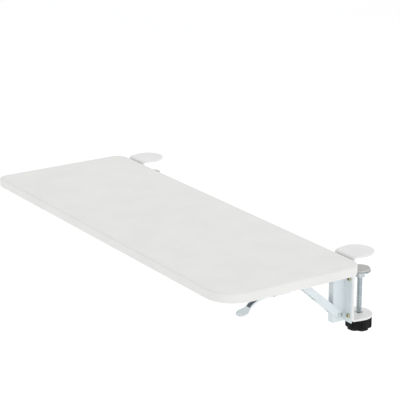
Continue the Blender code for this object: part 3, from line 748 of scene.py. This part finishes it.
def ribbed_pad():
    """The rubber pad with four ring grooves in its face, top at zero."""
    profile = [(2.0 * MM, 0.0)]
    for number in range(4):
        start = (3.6 + 2.8 * number) * MM
        profile += [(start, 0.0), (start + 0.35 * MM, -0.5 * MM)]
        profile += [(start + 0.95 * MM, -0.5 * MM), (start + 1.3 * MM, 0.0)]
    profile += [(14.4 * MM, 0.0), (14.85 * MM, -0.25 * MM), (15.0 * MM, -0.7 * MM), (15.0 * MM, -3.0 * MM)]
    pad = turned("pad", profile, 48)
    shade(pad, 40)
    return pad


def make_clamp_screws():
    """Spindles, knobs, caps, bushes, discs and pads."""
    low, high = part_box("right_spindle")
    knob_model = fluted_knob()
    spindle_model = threaded_spindle(low[2], high[2])
    cap_model = knob_plug()
    bush_model = threaded_bush()
    disc_model = swivel_disc()
    pad_model = ribbed_pad()
    models = (
        (knob_model, "knob", "fluted_knob"),
        (cap_model, "knob_cap", "knob_plug"),
        (disc_model, "pressure_disc", "swivel_disc"),
        (pad_model, "rubber_pad", "ribbed_pad"),
    )
    for side in SIDES:
        x, y, _ = middle_of(f"{side}_spindle")
        for model, node, label in models:
            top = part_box(f"{side}_{node}")[1][2]
            stand_for(another(model, f"{side}_{label}", (x, y, top)), f"{side}_{node}")
        stand_for(another(spindle_model, f"{side}_threaded_spindle", (x, y, 0.0)), f"{side}_spindle")
        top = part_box(f"{side}_jaw_bush")[1][2]
        stand_for(another(bush_model, f"{side}_threaded_bush", (x, y, top - 0.1 * MM)), f"{side}_jaw_bush")
    for model in (knob_model, cap_model, disc_model, pad_model, spindle_model, bush_model):
        bpy.data.objects.remove(model, do_unlink=True)


make_clamp_screws()


# ---------------------------------------------------------------- screws, pins and rivets
def in_shaded_recess(face, head_height):
    """Whether a face of a screw lies in its recess, which is painted dark as shade."""
    middle = face.calc_center_median()
    inside = math.hypot(middle.x, middle.y) < 2.35 * MM and middle.z > 0.0
    return inside and (abs(face.normal.z) < 0.5 or middle.z < head_height - 0.6 * MM)


def cross_screw(name, head_height, length, look):
    """A pan-head screw with a cross recess, its head's underside at zero and its head upwards."""
    radius = 3.5 * MM
    profile = [
        (1.7 * MM, -length),
        (2.0 * MM, -length + 0.5 * MM),
        (2.0 * MM, 0.0),
        (radius, 0.0),
        (radius, head_height * 0.42),
        (radius * 0.965, head_height * 0.62),
        (radius * 0.86, head_height * 0.82),
        (radius * 0.66, head_height * 0.95),
        (radius * 0.36, head_height),
    ]
    screw = turned(name, profile, 32)
    for turn in (0.0, math.pi / 2):
        deselect()
        bpy.ops.mesh.primitive_cube_add(
            size=1.0,
            location=(0.0, 0.0, head_height),
            rotation=(0.0, 0.0, turn),
            scale=(4.6 * MM, 1.15 * MM, 2.8 * MM),
        )
        carve(screw, bpy.context.active_object)
    deselect()
    place = (0.0, 0.0, head_height - 0.2 * MM)
    tip = 0.9 * MM
    mouth = 2.0 * MM
    bpy.ops.mesh.primitive_cone_add(vertices=24, radius1=tip, radius2=mouth, depth=1.6 * MM, location=place)
    carve(screw, bpy.context.active_object)
    edit(screw)
    outward()
    done()
    # The recess takes the dark steel look. On the yellow zinc ear screws this is painted shade in the
    # recess.
    dress(screw, look, "dark_steel")
    edit(screw)
    pick("FACE", lambda face: in_shaded_recess(face, head_height))
    screw.active_material_index = 1
    bpy.ops.object.material_slot_assign()
    done()
    shade(screw, 35)
    return screw


def headed_pin(name, radius, reach, head_radius, head_height):
    """A pin along Z with a domed head at each end."""
    dome = ((0.30, 1.0), (0.62, 0.93), (0.86, 0.72), (0.97, 0.42), (1.0, 0.15), (1.0, 0.0))
    profile = [(head_radius * share, reach + head_height * height) for share, height in dome]
    profile += [(radius, reach), (radius, -reach)]
    profile += [(head_radius * share, -reach - head_height * height) for share, height in reversed(dome)]
    pin = turned(name, profile, 32)
    shade(pin, 40)
    return pin


def make_fasteners():
    """Screws in the ears and arms, hinge pins, brace rivets, lever pins, spacers and glides."""
    quarter = math.pi / 2
    ear_head = 2.2 * MM
    arm_head = 2.0 * MM
    ear_model = cross_screw("ear_screw", ear_head, 4.3 * MM, "yellow_zinc")
    arm_model = cross_screw("arm_screw", arm_head, 9.8 * MM, "dark_steel")
    for side in SIDES:
        for level in ("upper", "lower"):
            for label in SIDES:
                node = f"{side}_leg_screw_{level}_{label}"
                x, _, z = middle_of(node)
                place = (x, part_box(node)[0][1] + ear_head, z)
                screw = another(ear_model, f"{side}_ear_screw_{level}_{label}", place, (quarter, 0, 0))
                stand_for(screw, node)
        for number in range(1, 5):
            node = f"{side}_arm_screw_{number}"
            x, y, _ = middle_of(node)
            place = (x, y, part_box(node)[0][2] + arm_head)
            screw = another(arm_model, f"{side}_web_screw_{number}", place, (2 * quarter, 0, 0))
            stand_for(screw, node)
    pins = (
        ("hinge_pin", "hinge_axle", 2.5 * MM, 1.2 * MM),
        ("brace_rivet", "foot_rivet", 3.0 * MM, 1.4 * MM),
        ("lever_pin", "lever_axle", 1.6 * MM, 1.1 * MM),
    )
    for node, label, radius, head_height in pins:
        low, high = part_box(f"right_{node}")
        reach = (high[0] - low[0]) / 2 - head_height
        head_radius = (high[2] - low[2]) / 2
        model = headed_pin(label, radius, reach, head_radius, head_height)
        for side in SIDES:
            pin = another(model, f"{side}_{label}", middle_of(f"{side}_{node}"), (0.0, quarter, 0.0))
            stand_for(pin, f"{side}_{node}")
        bpy.data.objects.remove(model, do_unlink=True)
    for model in (ear_model, arm_model):
        bpy.data.objects.remove(model, do_unlink=True)
    washers = (("hinge_spacer", "hinge_washer", 2.75 * MM), ("glide", "brace_glide", 1.2 * MM))
    for node, label, bore in washers:
        low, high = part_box(f"right_{node}_right")
        half = (high[0] - low[0]) / 2
        radius = (high[2] - low[2]) / 2
        edge = 0.25 * MM
        profile = [
            (bore, half),
            (radius - edge, half),
            (radius, half - edge),
            (radius, edge - half),
            (radius - edge, -half),
            (bore, -half),
            (bore, half),
        ]
        model = turned(label, profile, 32, hollow=True)
        shade(model, 30)
        for side in SIDES:
            for end in SIDES:
                place = middle_of(f"{side}_{node}_{end}")
                made = another(model, f"{side}_{label}_{end}", place, (0.0, quarter, 0.0))
                stand_for(made, f"{side}_{node}_{end}")
        bpy.data.objects.remove(model, do_unlink=True)


make_fasteners()


# ---------------------------------------------------------------- lever springs
def make_springs():
    """A torsion spring round each lever's pin, one end reaching back and up, the other forward."""
    wire = 0.40 * MM
    coil = 2.45 * MM
    half = 2.6 * MM
    turns = 4
    each = 24
    for side in SIDES:
        x, y, z = middle_of(f"{side}_lever_pin")
        points = [(-half, 12.0 * MM, 5.2 * MM), (-half, 6.0 * MM, 3.6 * MM)]
        for step in range(turns * each + 1):
            angle = math.radians(90) + 2 * math.pi * step / each
            across = -half + 2 * half * step / (turns * each)
            points.append((across, coil * math.cos(angle), coil * math.sin(angle)))
        points += [(half, -6.0 * MM, 2.6 * MM), (half, -15.0 * MM, 2.0 * MM)]
        line = bpy.data.curves.new(f"{side}_torsion_spring", "CURVE")
        line.dimensions = "3D"
        line.bevel_depth = wire
        line.bevel_resolution = 3
        line.use_fill_caps = True
        spline = line.splines.new("POLY")
        spline.points.add(len(points) - 1)
        for point, (across, along, up) in zip(spline.points, points):
            point.co = (x + across, y + along, z + up, 1.0)
        spring = bpy.data.objects.new(f"{side}_torsion_spring", line)
        bpy.context.scene.collection.objects.link(spring)
        work_on(spring)
        bpy.ops.object.convert(target="MESH")
        spring = bpy.context.active_object
        edit(spring)
        outward()
        done()
        shade(spring, 60)
        stand_for(spring, f"{side}_lever_spring")


make_springs()


# ---------------------------------------------------------------- stage and light
def make_stage():
    """A pale floor well below, and soft light all round."""
    bpy.context.scene.view_settings.view_transform = "Standard"
    bpy.ops.mesh.primitive_plane_add(size=30.0, location=(0.0, 0.0, -0.42))
    floor = bpy.context.active_object
    floor.name = "floor"
    look = Shader("pale_floor")
    mottle = look.noise(0.5, 2.0)
    tone = look.mix(mottle.ramp(0.3, 0.7), (0.93, 0.93, 0.93), (0.95, 0.95, 0.95))
    look.set(base_color=tone, roughness=0.9)
    look.set(emission_color=(1.0, 1.0, 1.0), emission_strength=0.20)
    floor.data.materials.append(look.material)
    world = bpy.data.worlds.new("studio")
    world.use_nodes = True
    world.node_tree.nodes["Background"].inputs["Color"].default_value = (0.995, 0.998, 1.0, 1.0)
    world.node_tree.nodes["Background"].inputs["Strength"].default_value = 0.84
    bpy.context.scene.world = world


def add_light(name, place, target, size, power):
    """A soft square lamp aimed at a point."""
    data = bpy.data.lights.new(name, "AREA")
    data.shape = "SQUARE"
    data.size = size
    data.energy = power
    lamp = bpy.data.objects.new(name, data)
    bpy.context.scene.collection.objects.link(lamp)
    lamp.location = place
    lamp.rotation_euler = (Vector(target) - Vector(place)).to_track_quat("-Z", "Y").to_euler()


make_stage()
add_light("side_key", (2.2, 0.3, 0.6), (0.2, -0.1, -0.05), 1.4, 4.5)
add_light("top_fill", (-0.8, 0.6, 1.8), (-0.2, -0.1, 0.0), 1.6, 5.0)
